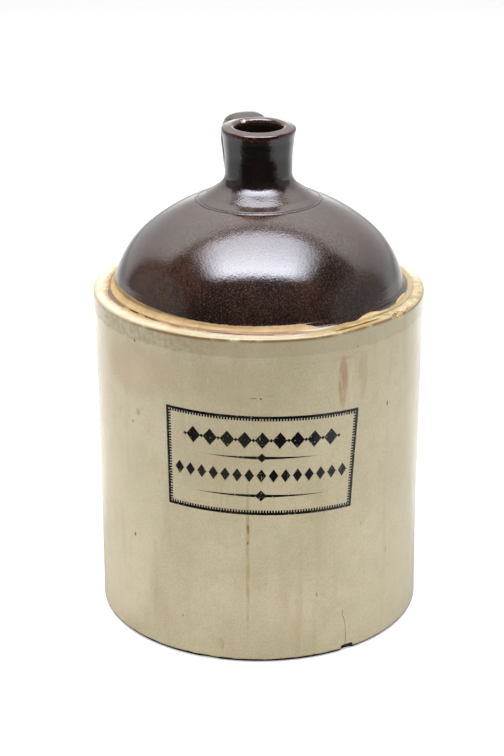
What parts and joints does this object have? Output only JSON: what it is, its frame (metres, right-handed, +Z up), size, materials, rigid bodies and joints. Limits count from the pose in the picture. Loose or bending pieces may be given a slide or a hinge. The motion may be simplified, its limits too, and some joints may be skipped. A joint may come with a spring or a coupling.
{
  "type": "stoneware jug",
  "caption": "Cylindrical stoneware jug with a stacking rim, a domed shoulder, a narrow neck for a stopper and a strap handle, for keeping and pouring liquids.",
  "frame": {"origin": "on the table, under the middle of the base", "axes": "+Z up along the axis of the jug, +Y from the axis towards the handle, +X to the right seen from the front"},
  "size_m": [0.178, 0.178, 0.2709],
  "materials": {
    "cream_glaze": "satin cream glaze",
    "brown_glaze": "glossy dark brown slip glaze",
    "bare_clay": "bare fired clay"
  },
  "bodies": {
    "root": {"body": "cream_glaze", "shoulder_dome": "brown_glaze", "neck": "brown_glaze", "strap_handle": "brown_glaze", "shoulder_seam_slip": "bare_clay", "neck_seam_slip": "brown_glaze", "handle_upper_slip": "brown_glaze", "handle_lower_slip": "brown_glaze"}
  },
  "joints": []
}
